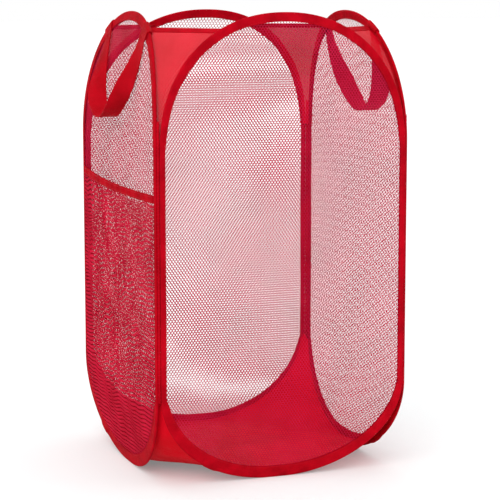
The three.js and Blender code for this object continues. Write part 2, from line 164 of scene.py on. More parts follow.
def unit(vectors):
    return vectors / np.linalg.norm(vectors, axis=-1)[..., None]


# how far along a line of points each of them lies
def distances(points):
    return np.concatenate([[0], np.cumsum(np.linalg.norm(np.diff(points, axis=0), axis=1))])


def pointsAt(places, along, points):
    return np.stack([np.interp(places, along, column) for column in points.T], -1)


# the right half of the upper arch's edge, from the leg up
def upperArch(angle):
    s = legReach * np.cos(angle) ** (2 / hamper["upperPower"])
    z = legTop + hamper["upperRise"] * np.sin(angle) ** (2 / hamper["upperPower"])
    return s, z


# the outer edge of a loop as an even ring of stations, anticlockwise from the foot
def loopRing(count):
    angle = np.linspace(0, math.pi / 2, hamper["arcSteps"])
    flat = hamper["foot"] / 2
    upperS, upperZ = upperArch(angle)
    lowerS = flat + (legReach - flat) * np.cos(angle) ** (2 / hamper["lowerPower"])
    lowerZ = legFoot - hamper["lowerRise"] * np.sin(angle) ** (2 / hamper["lowerPower"])
    right = np.stack([np.concatenate([lowerS[::-1], upperS]), np.concatenate([lowerZ[::-1], upperZ])], -1)
    left = (right * [-1, 1])[::-1]
    ring = np.concatenate([right, left[1:], right[:1]])
    along = distances(ring)
    points = pointsAt(np.linspace(0, along[-1], count, endpoint=False), along, ring)
    tangent = unit(np.roll(points, -1, axis=0) - np.roll(points, 1, axis=0))
    inward = np.stack([-tangent[:, 1], tangent[:, 0]], -1)
    return {"points": points, "inward": inward, "band": bandAt(points[:, 1]), "length": along[-1]}


# the points a depth inside the loop's edge, as s and z
def inside(ring, depth):
    s, z = ring["points"].T
    return s + ring["inward"][:, 0] * depth, z + ring["inward"][:, 1] * depth


def withinRing(s, z, ringS, ringZ):
    found = np.zeros(s.shape, bool)
    nextS, nextZ = np.roll(ringS, -1), np.roll(ringZ, -1)
    for s0, z0, s1, z1 in zip(ringS, ringZ, nextS, nextZ):
        if z0 != z1:
            crosses = ((z0 > z) != (z1 > z)) & (s < s0 + (z - z0) * (s1 - s0) / (z1 - z0))
            found ^= crosses
    return found


def smooth(share):
    share = np.clip(share, 0, 1)
    return share * share * (3 - 2 * share)


# smooth made-up unevenness, the same at every run: crossing waves, each finer and weaker than the last
def unevenness(a, b, seed, octaves=4, finer=1.7, weaker=1.4):
    random = np.random.default_rng(seed)
    total = 0
    for octave in range(octaves):
        turn = random.uniform(0, 2 * math.pi)
        phase = random.uniform(0, 2 * math.pi)
        along = a * math.cos(turn) + b * math.sin(turn)
        total = total + np.sin(along * finer**octave + phase) / weaker**octave
    return total / octaves


# unevenness over a side, at a pace across it and another up it, in radians per millimetre
def overSide(s, z, pace, seed, octaves=4):
    return unevenness(s / mm * pace[0], z / mm * pace[1], seed, octaves)


# building meshes
mergeDistance = 0.001 * mm
sharpAngle = 50  # degrees; bends sharper than this stay sharp


def onlyActive(piece):
    bpy.ops.object.select_all(action="DESELECT")
    piece.select_set(True)
    bpy.context.view_layer.objects.active = piece


def moveVertices(piece, points):
    piece.data.vertices.foreach_set("co", np.asarray(points, np.float32).reshape(-1))
    piece.data.update()


def layUv(piece, u, v):
    layer = piece.data.uv_layers.get("cloth") or piece.data.uv_layers.new(name="cloth")
    layer.data.foreach_set("uv", np.stack([u, v], -1).astype(np.float32).reshape(-1))
    for other in [entry for entry in piece.data.uv_layers if entry.name != "cloth"]:
        piece.data.uv_layers.remove(other)


def cornersOf(piece):
    index = np.zeros(len(piece.data.loops), np.int32)
    piece.data.loops.foreach_get("vertex_index", index)
    return index


def smoothShade(piece):
    onlyActive(piece)
    bpy.ops.object.shade_smooth()


def smoothBends(piece):
    onlyActive(piece)
    bpy.ops.object.shade_smooth_by_angle(angle=math.radians(sharpAngle))


def outwards(piece):
    onlyActive(piece)
    bpy.ops.object.mode_set(mode="EDIT")
    bpy.ops.mesh.select_all(action="SELECT")
    bpy.ops.mesh.normals_make_consistent(inside=False)
    bpy.ops.object.mode_set(mode="OBJECT")


def mergeSeams(piece):
    onlyActive(piece)
    bpy.ops.object.mode_set(mode="EDIT")
    bpy.ops.mesh.select_all(action="SELECT")
    bpy.ops.mesh.remove_doubles(threshold=mergeDistance)
    bpy.ops.object.mode_set(mode="OBJECT")
    outwards(piece)


# close the two open ends of a tube
def closeEnds(piece):
    onlyActive(piece)
    bpy.ops.object.mode_set(mode="EDIT")
    bpy.ops.mesh.select_all(action="DESELECT")
    bpy.ops.mesh.select_non_manifold()
    bpy.ops.mesh.fill_holes(sides=0)
    bpy.ops.object.mode_set(mode="OBJECT")
    outwards(piece)


# a closed band: rings[i, j] is point j of the section at station i
def bandPiece(name, rings):
    closed = np.concatenate([rings, rings[:1]])
    piece = gridPiece(name, np.concatenate([closed, closed[:, :1]], 1))
    mergeSeams(piece)
    smoothBends(piece)
    return piece


# a sheet from a primitive grid: points[i, j] is row i, column j
def gridPiece(name, points, thickness=0.0):
    rows, columns = points.shape[:2]
    bpy.ops.object.select_all(action="DESELECT")
    bpy.ops.mesh.primitive_grid_add(x_subdivisions=columns - 1, y_subdivisions=rows - 1)
    piece = bpy.context.object
    piece.name = name
    moveVertices(piece, points)
    down = np.linalg.norm(np.diff(points, axis=0), axis=2)
    over = np.linalg.norm(np.diff(points, axis=1), axis=2)
    u = np.concatenate([np.zeros((rows, 1)), np.cumsum(over, axis=1)], 1)
    v = np.concatenate([np.zeros((1, columns)), np.cumsum(down, axis=0)], 0)
    index = cornersOf(piece)
    layUv(piece, u.reshape(-1)[index], v.reshape(-1)[index])
    if thickness:
        thicken(piece, thickness)
    smoothBends(piece)
    return piece


def thicken(piece, thickness):
    wall = piece.modifiers.new("thickness", "SOLIDIFY")
    wall.thickness = thickness
    wall.offset = 0
    onlyActive(piece)
    bpy.ops.object.modifier_apply(modifier=wall.name)
    outwards(piece)


def meshPiece(name, points, faces, u=None, v=None):
    data = bpy.data.meshes.new(name)
    data.from_pydata(points.reshape(-1, 3).tolist(), [], faces)
    data.update()
    piece = bpy.data.objects.new(name, data)
    bpy.context.scene.collection.objects.link(piece)
    if u is not None:
        index = cornersOf(piece)
        layUv(piece, u.reshape(-1)[index], v.reshape(-1)[index])
    return piece


# many copies of one small shape in one piece; axes holds the three directions of each copy as rows
def scatterPiece(name, shape, places, axes):
    points = np.zeros(len(shape.data.vertices) * 3)
    shape.data.vertices.foreach_get("co", points)
    points = points.reshape(-1, 3)
    faces = [list(face.vertices) for face in shape.data.polygons]
    moved = np.einsum("vk,nkx->nvx", points, axes) + places[:, None, :]
    allFaces = [[index + n * len(points) for index in face] for n in range(len(places)) for face in faces]
    piece = meshPiece(name, moved, allFaces)
    smoothShade(piece)
    return piece


# materials
def socketMath(tree, kind, first, second=None):
    node = tree.nodes.new("ShaderNodeMath")
    node.operation = kind
    for slot, value in enumerate([first, second]):
        if value is None:
            continue
        if isinstance(value, (int, float)):
            node.inputs[slot].default_value = value
        else:
            tree.links.new(value, node.inputs[slot])
    return node.outputs[0]


def noiseOf(tree, coordinates, scale, detail=3.0, roughness=0.55):
    node = tree.nodes.new("ShaderNodeTexNoise")
    node.inputs["Scale"].default_value = scale
    node.inputs["Detail"].default_value = detail
    node.inputs["Roughness"].default_value = roughness
    tree.links.new(coordinates, node.inputs["Vector"])
    return node.outputs["Fac"]


def wavesOf(tree, place, pitch):
    return socketMath(tree, "SINE", socketMath(tree, "MULTIPLY", place, 2 * math.pi / pitch))


def mixColours(tree, share, first, second):
    node = tree.nodes.new("ShaderNodeMix")
    node.data_type = "RGBA"
    tree.links.new(share, node.inputs["Factor"])
    for slot, value in (("A", first), ("B", second)):
        target = next(entry for entry in node.inputs if entry.name == slot and entry.type == "RGBA")
        if isinstance(value, tuple):
            target.default_value = (*value, 1)
        else:
            tree.links.new(value, target)
    return next(entry for entry in node.outputs if entry.type == "RGBA")


def rescale(tree, value, low, high, newLow, newHigh):
    node = tree.nodes.new("ShaderNodeMapRange")
    for name, setting in zip(("From Min", "From Max", "To Min", "To Max"), (low, high, newLow, newHigh)):
        node.inputs[name].default_value = setting
    tree.links.new(value, node.inputs["Value"])
    return node.outputs["Result"]


def bumpOf(tree, height, distance, before=None):
    node = tree.nodes.new("ShaderNodeBump")
    node.inputs["Distance"].default_value = distance
    tree.links.new(height, node.inputs["Height"])
    if before is not None:
        tree.links.new(before, node.inputs["Normal"])
    return node.outputs["Normal"]


def newMaterial(name):
    material = bpy.data.materials.new(name)
    material.use_nodes = True
    return material, material.node_tree, material.node_tree.nodes["Principled BSDF"]


# how far the grey of a noise reaches, but for its rare dark and bright places
dyeSpan = (0.35, 0.65)
fibreSpan = (0.3, 0.7)


def dyedColour(tree, place, look):
    dye = noiseOf(tree, place, look["dyeScale"])
    return mixColours(tree, rescale(tree, dye, *dyeSpan, 0, 1), look["deep"], look["bright"])


def setRoughness(tree, shader, fibre, look):
    tree.links.new(rescale(tree, fibre, *fibreSpan, *look["roughness"]), shader.inputs["Roughness"])


# woven cloth: crossing threads on the cloth's own map, uneven dye, shallow creases
def wovenMaterial(name, look):
    material, tree, shader = newMaterial(name)
    shader.inputs["Specular IOR Level"].default_value = look["gloss"]
    shader.inputs["Alpha"].default_value = look.get("cover", 1.0)
    uvMap = tree.nodes.new("ShaderNodeUVMap")
    uvMap.uv_map = "cloth"
    parts = tree.nodes.new("ShaderNodeSeparateXYZ")
    tree.links.new(uvMap.outputs["UV"], parts.inputs[0])
    place = tree.nodes.new("ShaderNodeTexCoord").outputs["Object"]
    warpPlace, weftPlace = parts.outputs["X"], parts.outputs["Y"]
    if look.get("zigzag"):
        sway = socketMath(tree, "PINGPONG", weftPlace, look["zigzag"])
        warpPlace = socketMath(tree, "ADD", warpPlace, sway)
    warp = wavesOf(tree, warpPlace, look["threadAlong"])
    weft = wavesOf(tree, weftPlace, look["threadAcross"])
    weave = socketMath(tree, "MULTIPLY", warp, weft)
    shade = rescale(tree, weave, -1, 1, 0, look["threadShade"])
    threads = mixColours(tree, shade, dyedColour(tree, place, look), look["deep"])
    tree.links.new(threads, shader.inputs["Base Color"])
    setRoughness(tree, shader, noiseOf(tree, place, look["fibreScale"], detail=2.0), look)
    creases = noiseOf(tree, place, look["creaseScale"], detail=2.0)
    crease = bumpOf(tree, creases, look["creaseDepth"])
    tree.links.new(bumpOf(tree, weave, look["threadDepth"], crease), shader.inputs["Normal"])
    return material


tapeLook = {
    "deep": (0.38, 0.001, 0.007),
    "bright": (0.58, 0.002, 0.012),
    "threadAlong": 0.8 * mm,
    "threadAcross": 0.6 * mm,
    "threadShade": 0.35,
    "threadDepth": 0.05 * mm,
    "creaseScale": 160.0,
    "creaseDepth": 0.6 * mm,
    "dyeScale": 40.0,
    "fibreScale": 900.0,
    "roughness": (0.55, 0.75),
    "gloss": 0.02,
}
nylonLook = {
    "deep": (0.64, 0.001, 0.008),
    "bright": (0.80, 0.003, 0.017),
    "threadAlong": 0.4 * mm,
    "threadAcross": 0.4 * mm,
    "threadShade": 0.25,
    "threadDepth": 0.02 * mm,
    "creaseScale": 45.0,
    "creaseDepth": 1.6 * mm,
    "dyeScale": 14.0,
    "fibreScale": 700.0,
    "roughness": (0.46, 0.62),
    "gloss": 0.03,
}
# the base nylon painted darker: painted shade on the brightly lit gussets, and a little see-through
gussetShadedLook = {
    **nylonLook,
    "deep": (0.57, 0.001, 0.010),
    "bright": (0.72, 0.004, 0.020),
    "cover": 0.95,
}
webbingLook = {
    "deep": (0.40, 0.001, 0.006),
    "bright": (0.60, 0.002, 0.012),
    "threadAlong": 1.6 * mm,
    "threadAcross": 0.9 * mm,
    "zigzag": 6.0 * mm,
    "threadShade": 0.5,
    "threadDepth": 0.12 * mm,
    "creaseScale": 70.0,
    "creaseDepth": 0.6 * mm,
    "dyeScale": 30.0,
    "fibreScale": 800.0,
    "roughness": (0.5, 0.68),
    "gloss": 0.03,
}


# knitted strands and sewing thread: a twisted yarn, patterned on the piece's place
def yarnMaterial(name, look):
    material, tree, shader = newMaterial(name)
    shader.inputs["Sheen Weight"].default_value = look["sheen"]
    shader.inputs["Sheen Roughness"].default_value = yarn["fuzzRoughness"]
    shader.inputs["Sheen Tint"].default_value = (*yarn["fuzzTint"], 1)
    shader.inputs["Specular IOR Level"].default_value = look["gloss"]
    place = tree.nodes.new("ShaderNodeTexCoord").outputs["Object"]
    twist = noiseOf(tree, place, look["twistScale"], detail=1.0)
    shade = rescale(tree, twist, *yarn["twistSpan"], 0, yarn["twistShade"])
    strands = mixColours(tree, shade, dyedColour(tree, place, look), look["deep"])
    tree.links.new(strands, shader.inputs["Base Color"])
    setRoughness(tree, shader, twist, look)
    tree.links.new(bumpOf(tree, twist, look["twistDepth"]), shader.inputs["Normal"])
    return material


yarn = {
    "fuzzRoughness": 0.5,
    "fuzzTint": (1.0, 0.10, 0.16),  # as red as the dyed fibres
    "twistSpan": (0.4, 0.7),
    "twistShade": 0.5,
}
netLook = {
    "deep": (0.45, 0.008, 0.040),
    "bright": (0.61, 0.015, 0.070),
    "dyeScale": 20.0,
    "twistScale": 1500.0,
    "twistDepth": 0.05 * mm,
    "roughness": (0.6, 0.75),
    "sheen": 0.01,
    "gloss": 0.03,
}
pocketLook = {**netLook, "deep": (0.50, 0.008, 0.030), "bright": (0.68, 0.014, 0.052)}
threadLook = {
    "deep": (0.40, 0.003, 0.012),
    "bright": (0.60, 0.008, 0.024),
    "dyeScale": 60.0,
    "twistScale": 2200.0,
    "twistDepth": 0.05 * mm,
    "roughness": (0.4, 0.6),
    "sheen": 0.1,
    "gloss": 0.10,
}


# drawn wire and pressed ferrules: fine lines, faint tarnish
def metalMaterial(name, look):
    material, tree, shader = newMaterial(name)
    shader.inputs["Metallic"].default_value = 1.0
    place = tree.nodes.new("ShaderNodeTexCoord").outputs["Object"]
    tarnish = noiseOf(tree, place, look["tarnishScale"])
    lines = noiseOf(tree, place, look["lineScale"], detail=2.0)
    tree.links.new(mixColours(tree, tarnish, look["bright"], look["deep"]), shader.inputs["Base Color"])
    setRoughness(tree, shader, lines, look)
    tree.links.new(bumpOf(tree, lines, look["lineDepth"]), shader.inputs["Normal"])
    return material


wireLook = {
    "bright": (0.55, 0.56, 0.58),
    "deep": (0.36, 0.36, 0.37),
    "tarnishScale": 60.0,
    "lineScale": 1800.0,
    "lineDepth": 0.02 * mm,
    "roughness": (0.25, 0.5),
}
ferruleLook = {
    **wireLook,
    "bright": (0.66, 0.67, 0.68),
    "deep": (0.5, 0.5, 0.5),
    "lineScale": 900.0,
}
finishes = {
    "tape": wovenMaterial("tape", tapeLook),
    "nylon": wovenMaterial("nylon", nylonLook),
    "gusset": wovenMaterial("gussetNylonShaded", gussetShadedLook),
    "webbing": wovenMaterial("webbing", webbingLook),
    "net": yarnMaterial("netYarn", netLook),
    "pocket": yarnMaterial("pocketYarn", pocketLook),
    "thread": yarnMaterial("sewingThread", threadLook),
    "wire": metalMaterial("springWire", wireLook),
    "ferrule": metalMaterial("ferrule", ferruleLook),
}


def finishPiece(piece, finish, body=None, stands=()):
    piece.data.materials.clear()
    piece.data.materials.append(finishes[finish])
    if stands:
        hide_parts(*stands)
    if body:
        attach(piece, body)
    return piece


for nodeName, node in frame["nodes"].items():
    if nodeName.startswith(("wire_loop", "wire_ferrule")):
        metal = finishes["wire" if "loop" in nodeName else "ferrule"]
        node.data.materials.clear()
        node.data.materials.append(metal)
print("materials made")

# one stitch, copied along every seam: a short thread that bulges in its middle
sewing = {
    "length": 2.3 * mm,
    "width": 0.55 * mm,
    "height": 0.4 * mm,
    "pitch": 3.2 * mm,
}


def makeStitch():
    bpy.ops.object.select_all(action="DESELECT")
    bpy.ops.mesh.primitive_uv_sphere_add(segments=6, ring_count=4, radius=0.5)
    piece = bpy.context.object
    points = np.array([corner.co for corner in piece.data.vertices])
    moveVertices(piece, points[:, [2, 0, 1]] * [sewing["length"], sewing["width"], sewing["height"]])
    return piece


stitch = makeStitch()


# stitches along a line of points, lying flat on the cloth whose outward direction is given
def stitchLine(points, outward):
    along = distances(points)
    places = np.arange(sewing["pitch"] / 2, along[-1], sewing["pitch"])
    middle = pointsAt(places, along, points)
    reach = sewing["pitch"] / 4
    run = unit(pointsAt(places + reach, along, points) - pointsAt(places - reach, along, points))
    across = unit(np.cross(pointsAt(places, along, outward), run))
    return middle, np.stack([run, across, np.cross(run, across)], 1)


# the same on a side, over a line given as s, out and z
def sideStitches(side, s, out, z, face=1):
    outward = face * (onSide(side, s, 1.0, z) - onSide(side, s, 0.0, z))
    return stitchLine(onSide(side, s, out, z), outward)


def stitchPiece(name, lines, body):
    places = np.concatenate([line[0] for line in lines])
    axes = np.concatenate([line[1] for line in lines])
    return finishPiece(scatterPiece(name, stitch, places, axes), "thread", body)


# tape binding: folded round the wire and over the net's edge, a little puckered by its stitching
tape = {
    "stations": 400,
    "bead": 1.95 * mm,
    "channel": 1.4 * mm,
    "lip": 1.5 * mm,
    "lipCrown": 0.2 * mm,
    "slot": 0.85 * mm,
    "edgeRoll": 0.8 * mm,
    "shoulder": 5 * mm,
    "beadSteps": 9,
    "channelSteps": 5,
    "flatCrown": 0.1 * mm,
    "innerInset": 0.25 * mm,
    "pucker": 0.25 * mm,
    "puckerPace": 0.55,
    "middlePucker": 1.6,  # times the pucker at the edge
    "innerPucker": 0.5,
    "edgeWander": 0.5 * mm,
    "wanderPace": 9,
    "ferruleSwell": 1.3 * mm,
    "ferruleHold": 7 * mm,
    "ferruleFade": 9 * mm,
    "stitchDepth": 1.7 * mm,
    "stitchLift": 0.12 * mm,
}
ring = loopRing(tape["stations"])


def ferruleSwell(side):
    low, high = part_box("wire_ferrule_" + side)
    middle = np.array((low + high) / 2)
    s, z = inside(ring, tape["bead"])
    away = np.linalg.norm(onSide(side, s, 0, z) - middle, axis=1)
    return tape["ferruleSwell"] * (1 - smooth((away - tape["ferruleHold"]) / tape["ferruleFade"]))


# a half round over the wire as (depth, out) pairs, at equal steps from one angle to another
def halfRound(radius, start, end, steps):
    angles = start + (end - start) * np.arange(steps) / (steps - 1)
    return [(tape["bead"] + radius * math.cos(angle), radius * math.sin(angle)) for angle in angles]


# section of the tape at every station as (depth, out) pairs
def tapeSection(side, seed):
    share = np.arange(tape["stations"]) / tape["stations"]
    turn = share * 2 * math.pi
    swell = ferruleSwell(side)
    pucker = tape["pucker"] * unevenness(share * ring["length"] / mm * tape["puckerPace"], turn, seed)
    pace = tape["wanderPace"]
    band = ring["band"] + tape["edgeWander"] * unevenness(np.cos(turn) * pace, np.sin(turn) * pace, seed + 1)
    shoulder = tape["shoulder"] + 0 * band
    flat = tape["lip"] + tape["flatCrown"]
    lip = [
        (band, tape["lip"] + pucker),
        (band - tape["edgeRoll"], tape["lip"] + tape["lipCrown"] + pucker),
        ((band + shoulder) / 2, flat + pucker * tape["middlePucker"]),
        (shoulder, flat + swell),
    ]
    slot = [
        (band - tape["innerInset"], -tape["slot"] - pucker * tape["innerPucker"]),
        (shoulder, -tape["slot"] - swell),
    ]
    outer = halfRound(tape["bead"] + swell, 0.5 * math.pi, 1.5 * math.pi, tape["beadSteps"])
    inner = halfRound(tape["channel"] + swell, 1.5 * math.pi, 0.5 * math.pi, tape["channelSteps"])
    mirrored = [[(depth, -out) for depth, out in reversed(half)] for half in (lip, slot)]
    return lip + outer + mirrored[0] + slot + inner + mirrored[1]


def addTape(side, seed):
    rings = []
    for depth, out in tapeSection(side, seed):
        s, z = inside(ring, depth)
        rings.append(onSide(side, s, out, z))
    piece = bandPiece("tape_" + side, np.stack(rings, 1))
    finishPiece(piece, "tape", side, ["binding_" + side])
    s, z = (np.append(value, value[0]) for value in inside(ring, ring["band"] - tape["stitchDepth"]))
    out = tape["lip"] + tape["lipCrown"] + tape["stitchLift"]
    lines = [sideStitches(side, s, face * out, z, face) for face in (1, -1)]
    return piece, stitchPiece("tape_stitching_" + side, lines, side)


tapes = {side: addTape(side, 11 + 7 * n) for n, side in enumerate(sides)}
print("tapes sewn round the four loops")

# net: honeycomb knit with open cells, its strands as real ribbons
net = {
    "pitch": 3.57 * mm,
    "rowPitch": 2.62 * mm,
    "halfCell": 2.17 * mm,
    "strand": 0.65 * mm,
    "stretch": {"front": 1.12, "right": 1.2, "back": 1.285, "left": 1.12},
    "ribbed": False,  # strands that lean alike along each row
    "edgeDepth": 5.2 * mm,
    "selvedge": (4.6 * mm, 6.6 * mm),
    # how far a strand's two edges stand out of the net's plane
    "relief": {"front": 0.08 * mm, "back": 0.08 * mm, "left": 0.48 * mm, "right": 0.55 * mm},
    "slack": 0.9 * mm,
    "slackPace": (0.05, 0.05),
    "jitter": 0.05 * mm,
}


# rows of cells over a round region: keep(s, z) says which are in, and place(s, z, lean) lays their corners
# down, where lean is 1 or -1 at the two edges of a strand
def knitPatch(middle, radius, keep, place, look, seed):
    pitch, rowPitch = look["pitch"], look["rowPitch"]
    rows, columns = 2 * int(radius / rowPitch), 2 * int(radius / pitch)
    row, column = np.meshgrid(np.arange(rows), np.arange(columns), indexing="ij")
    across = (column - columns / 2 + (row % 2) / 2) * pitch
    up = (row - rows / 2) * rowPitch
    random = np.random.default_rng(seed)
    across = across + random.normal(0, look["jitter"], across.shape)
    up = up + random.normal(0, look["jitter"], up.shape)
    s, z = middle[0] + across, middle[1] + up
    kept = keep(s, z)
    number = np.where(kept, np.cumsum(kept).reshape(kept.shape) - 1, -1)
    cornerS, cornerZ = cellCorners(look)
    flatS, flatZ = s[kept][:, None] + cornerS, z[kept][:, None] + cornerZ
    order = row if look["ribbed"] else row // 2 + column
    twist = np.where(order % 2 == 0, 1, -1)[kept]
    lean = twist[:, None] * np.array([1, -1, 0, 1, -1, 0])
    points = place(flatS.reshape(-1), flatZ.reshape(-1), lean.reshape(-1))
    return points, cellFaces(row, column, kept, number)


# the six corners of a cell's two junctions, each three named left, right and tip: the top ones, then the low
def cellCorners(look):
    width, halfCell = look["strand"], look["halfCell"]
    slope = math.atan2(2 * halfCell - look["rowPitch"], look["pitch"] / 2)
    shoulder = width / 2 * (1 - math.sin(slope)) / math.cos(slope)
    tip = width / 2 / math.cos(slope)
    high, low = halfCell + shoulder, halfCell - tip
    across = np.array([-width / 2, width / 2, 0, -width / 2, width / 2, 0])
    return across, np.array([high, high, low, -high, -high, -low])


def cellFaces(row, column, kept, number):
    topLeft, topRight, topTip, lowLeft, lowRight, lowTip = range(6)

    def pairs(rowStep, evenStep, oddStep):
        r = row + rowStep
        c = column + np.where(row % 2 == 0, evenStep, oddStep)
        valid = (r < row.shape[0]) & (c >= 0) & (c < row.shape[1]) & kept
        found = np.full(row.shape, -1)
        found[valid] = number[r[valid], c[valid]]
        return number[found >= 0] * 6, found[found >= 0] * 6

    own = number[kept] * 6
    triangles = [
        (own + topLeft, own + topTip, own + topRight),
        (own + lowLeft, own + lowRight, own + lowTip),
    ]
    here, above = pairs(2, 0, 0)
    quads = [(here + topLeft, here + topRight, above + lowRight, above + lowLeft)]
    here, right = pairs(1, 0, 1)
    quads.append((here + topTip, right + lowLeft, right + lowTip, here + topRight))
    here, left = pairs(1, -1, 0)
    quads.append((here + topTip, here + topLeft, left + lowTip, left + lowRight))
    return [face for group in triangles + quads for face in np.stack(group, -1).tolist()]


def joinPatches(name, patches):
    points, faces, count = [], [], 0
    for patchPoints, patchFaces in patches:
        points.append(patchPoints)
        faces += [[index + count for index in face] for face in patchFaces]
        count += len(patchPoints)
    piece = meshPiece(name, np.concatenate(points), faces)
    outwards(piece)
    return piece


# the plain woven edge of a net, out of sight inside the tape
def selvedgeStrip(side):
    count = tape["stations"]
    near, far = (inside(ring, depth) for depth in net["selvedge"])
    points = np.concatenate([onSide(side, near[0], 0, near[1]), onSide(side, far[0], 0, far[1])])
    faces = [[n, (n + 1) % count, count + (n + 1) % count, count + n] for n in range(count)]
    return points, faces


def addNet(side, seed):
    edgeS, edgeZ = inside(ring, net["edgeDepth"])

    def place(s, z, lean):
        across = np.clip(1 - (s / legReach) ** 2, 0, 1)
        slack = net["slack"] * across * overSide(s, z, net["slackPace"], seed)
        return onSide(side, s, slack + net["relief"][side] * lean, z)

    def keep(s, z):
        return withinRing(s, z, edgeS, edgeZ)

    middle, radius = (0, hamper["height"] / 2), hamper["height"] / 2
    cells = {name: net[name] * net["stretch"][side] for name in ("pitch", "rowPitch", "halfCell", "strand")}
    knit = knitPatch(middle, radius, keep, place, {**net, **cells}, seed)
    piece = joinPatches("netting_" + side, [knit, selvedgeStrip(side)])
    finishPiece(piece, "net", side, ["net_" + side])


for sideNumber, sideName in enumerate(sides):
    addNet(sideName, 101 + sideNumber)
print("nets knitted")

# base: one nylon cloth, flat between the feet and straight across each corner from arch to arch, made in
# four quarters that ride on their sides
base = {
    "steps": 64,
    "seamDepth": 8 * mm,
    "cornerTuck": 5 * mm,
    "cornerRise": 6 * mm,
    "clothOut": -2.8 * mm,
    "ripple": 0.9 * mm,
    "ripplePace": 9,
    "pleatShare": 0.8,
    "pleatPace": 60,
    "ripplePickUp": 6,
    "foldedShare": 0.27,
}


def baseEdge(side, share):
    reach = legReach - base["seamDepth"]
    s = reach * np.sin(math.pi / 2 * share)
    width = np.clip(np.abs(s) / reach, 0, 1)
    rise = (1 - width ** hamper["lowerPower"]) ** (1 / hamper["lowerPower"])
    points = onSide(side, s, base["clothOut"], legFoot - (legFoot - base["seamDepth"]) * rise)
    tuck = hingeHalf - base["cornerTuck"]
    x, y = turned(side, np.sign(share) * tuck, -tuck)
    corner = np.stack([x, y, 0 * x + legFoot + base["cornerRise"]], -1)
    return np.where((np.abs(share) > 1 - 1e-9)[..., None], corner, points)


def baseGrid():
    share = np.linspace(-1, 1, base["steps"] + 1)
    x, y = np.meshgrid(share, share)
    alongArch = np.clip(np.abs(x) + np.abs(y) - 1, 0, 1)
    grid = np.zeros((*x.shape, 3))
    for fromSide, fromSign, rows in (("front", 1, y < 0), ("back", -1, y >= 0)):
        for toSide, toSign, columns in (("right", 1, x >= 0), ("left", -1, x < 0)):
            quarter = rows & columns
            start = baseEdge(fromSide, fromSign * toSign * alongArch)
            end = baseEdge(toSide, -fromSign * toSign * alongArch)
            across = (np.abs(x) - alongArch) / np.maximum(1 - alongArch, 1e-9)
            sloping = start + (end - start) * np.clip(across, 0, 1)[..., None]
            levelX = np.abs(x) * baseEdge(toSide, 0 * x)[..., 0]
            levelY = np.abs(y) * baseEdge(fromSide, 0 * x)[..., 1]
            level = np.stack([levelX, levelY, 0 * x + base["seamDepth"]], -1)
            both = np.where((np.abs(x) + np.abs(y) > 1)[..., None], sloping, level)
            grid[quarter] = both[quarter]
    normal = np.cross(np.gradient(grid, axis=1), np.gradient(grid, axis=0))
    normal /= np.maximum(np.linalg.norm(normal, axis=2), 1e-12)[..., None]
    edge = np.clip((1 - np.maximum(np.abs(x), np.abs(y))) * base["ripplePickUp"], 0, 1)
    ripple = unevenness(x * base["ripplePace"], y * base["ripplePace"], 5)
    pleats = base["pleatShare"] * np.sin(x * y * base["pleatPace"]) * np.abs(x * y)
    return grid + (base["ripple"] * edge * (ripple + pleats))[..., None] * normal


def quarterFaces(count):
    number = np.arange((count + 1) ** 2).reshape(count + 1, count + 1)
    faces = []
    for i in range(count // 2):
        last = count - i
        faces.append([number[i, i], number[i, i + 1], number[i + 1, i + 1]])
        for j in range(i + 1, last - 1):
            faces.append([number[i, j], number[i, j + 1], number[i + 1, j + 1], number[i + 1, j]])
        faces.append([number[i, last - 1], number[i, last], number[i + 1, last - 1]])
    used, renumbered = np.unique(np.concatenate([np.array(face) for face in faces]), return_inverse=True)
    ends = np.cumsum([len(face) for face in faces])
    return used, [group.tolist() for group in np.split(renumbered, ends[:-1])]


# gives a piece of cloth its own mesh
def squashWithSide(piece):
    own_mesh(piece)


def addBase():
    grid = baseGrid()
    used, faces = quarterFaces(base["steps"])
    for quarterTurns, side in enumerate(sides):
        points = np.rot90(grid, quarterTurns).reshape(-1, 3)[used]
        piece = meshPiece("base_panel_" + side, points, faces, points[:, 0], points[:, 1])
        smoothShade(piece)
        finishPiece(piece, "nylon", side, ["base_cloth"])
        squashWithSide(piece)


addBase()

# corner gussets: nylon between the upper arches, with a folded band along the top
gusset = {
    "start": 2 * mm,
    "topDrop": 26 * mm,
    "seamDepth": 6 * mm,
    "clothOut": -2.8 * mm,
    "rows": 30,
    "columns": 24,
    "sag": 3.0 * mm,
    "evenSag": 0.6,  # shares of the sag
    "creasedSag": 0.5,
    "creasePace": (9, 7),
    "creaseSlant": 3,
    "foldedShare": 0.27,
    "bandHeight": 5 * mm,
    "bandLevels": (0, 0.3, 0.7, 1.0),
    "bandGap": 0.3 * mm,
    "bandThickness": 1.2 * mm,
    "gather": 0.35 * mm,
    "gatherPitch": 7 * mm,
}


def upperReach(z):
    share = np.clip((z - legTop) / (hamper["upperRise"] - gusset["seamDepth"]), 0, 1)
    power = hamper["upperPower"]
    return (legReach - gusset["seamDepth"]) * (1 - share**power) ** (1 / power)


# rows from one side's arch to the next side's, as shares 0 to 1 of the way across
def gussetGrid(first, second, z, across):
    reach = upperReach(z)
    start = onSide(first, reach, gusset["clothOut"], z)
    end = onSide(second, -reach, gusset["clothOut"], z)
    return start[:, None] + (end - start)[:, None] * across[None, :, None]


def cornerInward(first):
    turn = math.radians(sides[first]["turn"] + 45)
    return np.array([-math.sin(turn), math.cos(turn), 0])


